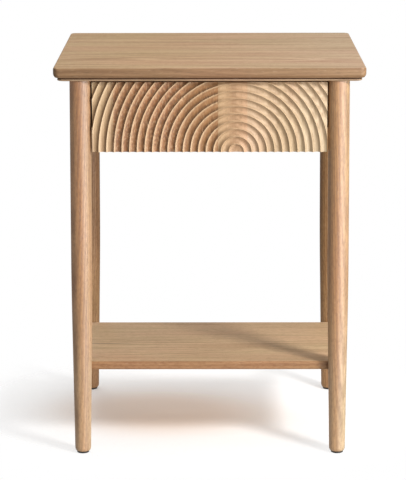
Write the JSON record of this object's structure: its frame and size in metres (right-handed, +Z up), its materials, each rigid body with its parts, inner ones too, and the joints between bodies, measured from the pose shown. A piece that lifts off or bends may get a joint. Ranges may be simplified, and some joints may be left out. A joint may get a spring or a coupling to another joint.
{
  "type": "bedside table",
  "caption": "Oak bedside table with round tapered legs, a low shelf and a full-width drawer whose front is carved with concentric rings.",
  "frame": {"origin": "on the floor, under the middle of the top panel", "axes": "+Z up; +Y towards the back, so the drawer opens along -Y; +X to the right as seen from the front"},
  "size_m": [0.453, 0.39, 0.59],
  "materials": {
    "oak": "matt oil or lacquer",
    "oak_frame": "matt, planed",
    "oak_carved": "matt, carved",
    "drawer_wood": "clear lacquer",
    "slide_steel": "zinc plated",
    "screw_steel": "zinc plated",
    "glide": "matt black"
  },
  "bodies": {
    "table": {"leg_front_left": "oak", "glide_pad_front_left": "glide", "leg_front_right": "oak", "glide_pad_front_right": "glide", "leg_back_left": "oak", "glide_pad_back_left": "glide", "leg_back_right": "oak", "glide_pad_back_right": "glide", "top_panel": "oak", "lower_shelf": "oak", "back_apron": "oak_frame", "front_top_rail": "oak_frame", "side_apron_left": "oak_frame", "shelf_stretcher_left": "oak_frame", "corner_block_left": "oak_frame", "slide_packer_left": "oak_frame", "slide_fixed_left": "slide_steel", "rail_screw_left": "screw_steel", "shelf_screw_front_left": "screw_steel", "shelf_screw_rear_left": "screw_steel", "side_apron_right": "oak_frame", "shelf_stretcher_right": "oak_frame", "corner_block_right": "oak_frame", "slide_packer_right": "oak_frame", "slide_fixed_right": "slide_steel", "rail_screw_right": "screw_steel", "shelf_screw_front_right": "screw_steel", "shelf_screw_rear_right": "screw_steel", "top_bracket_left": "screw_steel", "top_screw_left": "screw_steel", "apron_screw_left": "screw_steel", "top_bracket_right": "screw_steel", "top_screw_right": "screw_steel", "apron_screw_right": "screw_steel", "top_bracket_back_left": "screw_steel", "top_screw_back_left": "screw_steel", "apron_screw_back_left": "screw_steel", "top_bracket_back_right": "screw_steel", "top_screw_back_right": "screw_steel", "apron_screw_back_right": "screw_steel"},
    "drawer": {"drawer_front": "oak_carved", "drawer_box_front": "drawer_wood", "drawer_side_left": "drawer_wood", "drawer_side_right": "drawer_wood", "drawer_back": "drawer_wood", "drawer_bottom": "drawer_wood", "front_screw_left": "screw_steel", "front_screw_right": "screw_steel", "slide_moving_left": "slide_steel", "slide_moving_right": "slide_steel"},
    "slide_carriage_left": {"slide_middle_left": "slide_steel"},
    "slide_carriage_right": {"slide_middle_right": "slide_steel"}
  },
  "joints": [
    {"name": "drawer_slide", "type": "slide", "parent": "table", "child": "drawer", "axis": [0, -1, 0], "range_m": [0, 0.2]},
    {"name": "slide_left", "type": "slide", "parent": "table", "child": "slide_carriage_left", "axis": [0, -1, 0], "range_m": [0, 0.1]},
    {"name": "slide_right", "type": "slide", "parent": "table", "child": "slide_carriage_right", "axis": [0, -1, 0], "range_m": [0, 0.1]}
  ],
  "couplings": [
    {"joint": "slide_left", "follows": "drawer_slide", "ratio": 0.5},
    {"joint": "slide_right", "follows": "drawer_slide", "ratio": 0.5}
  ]
}
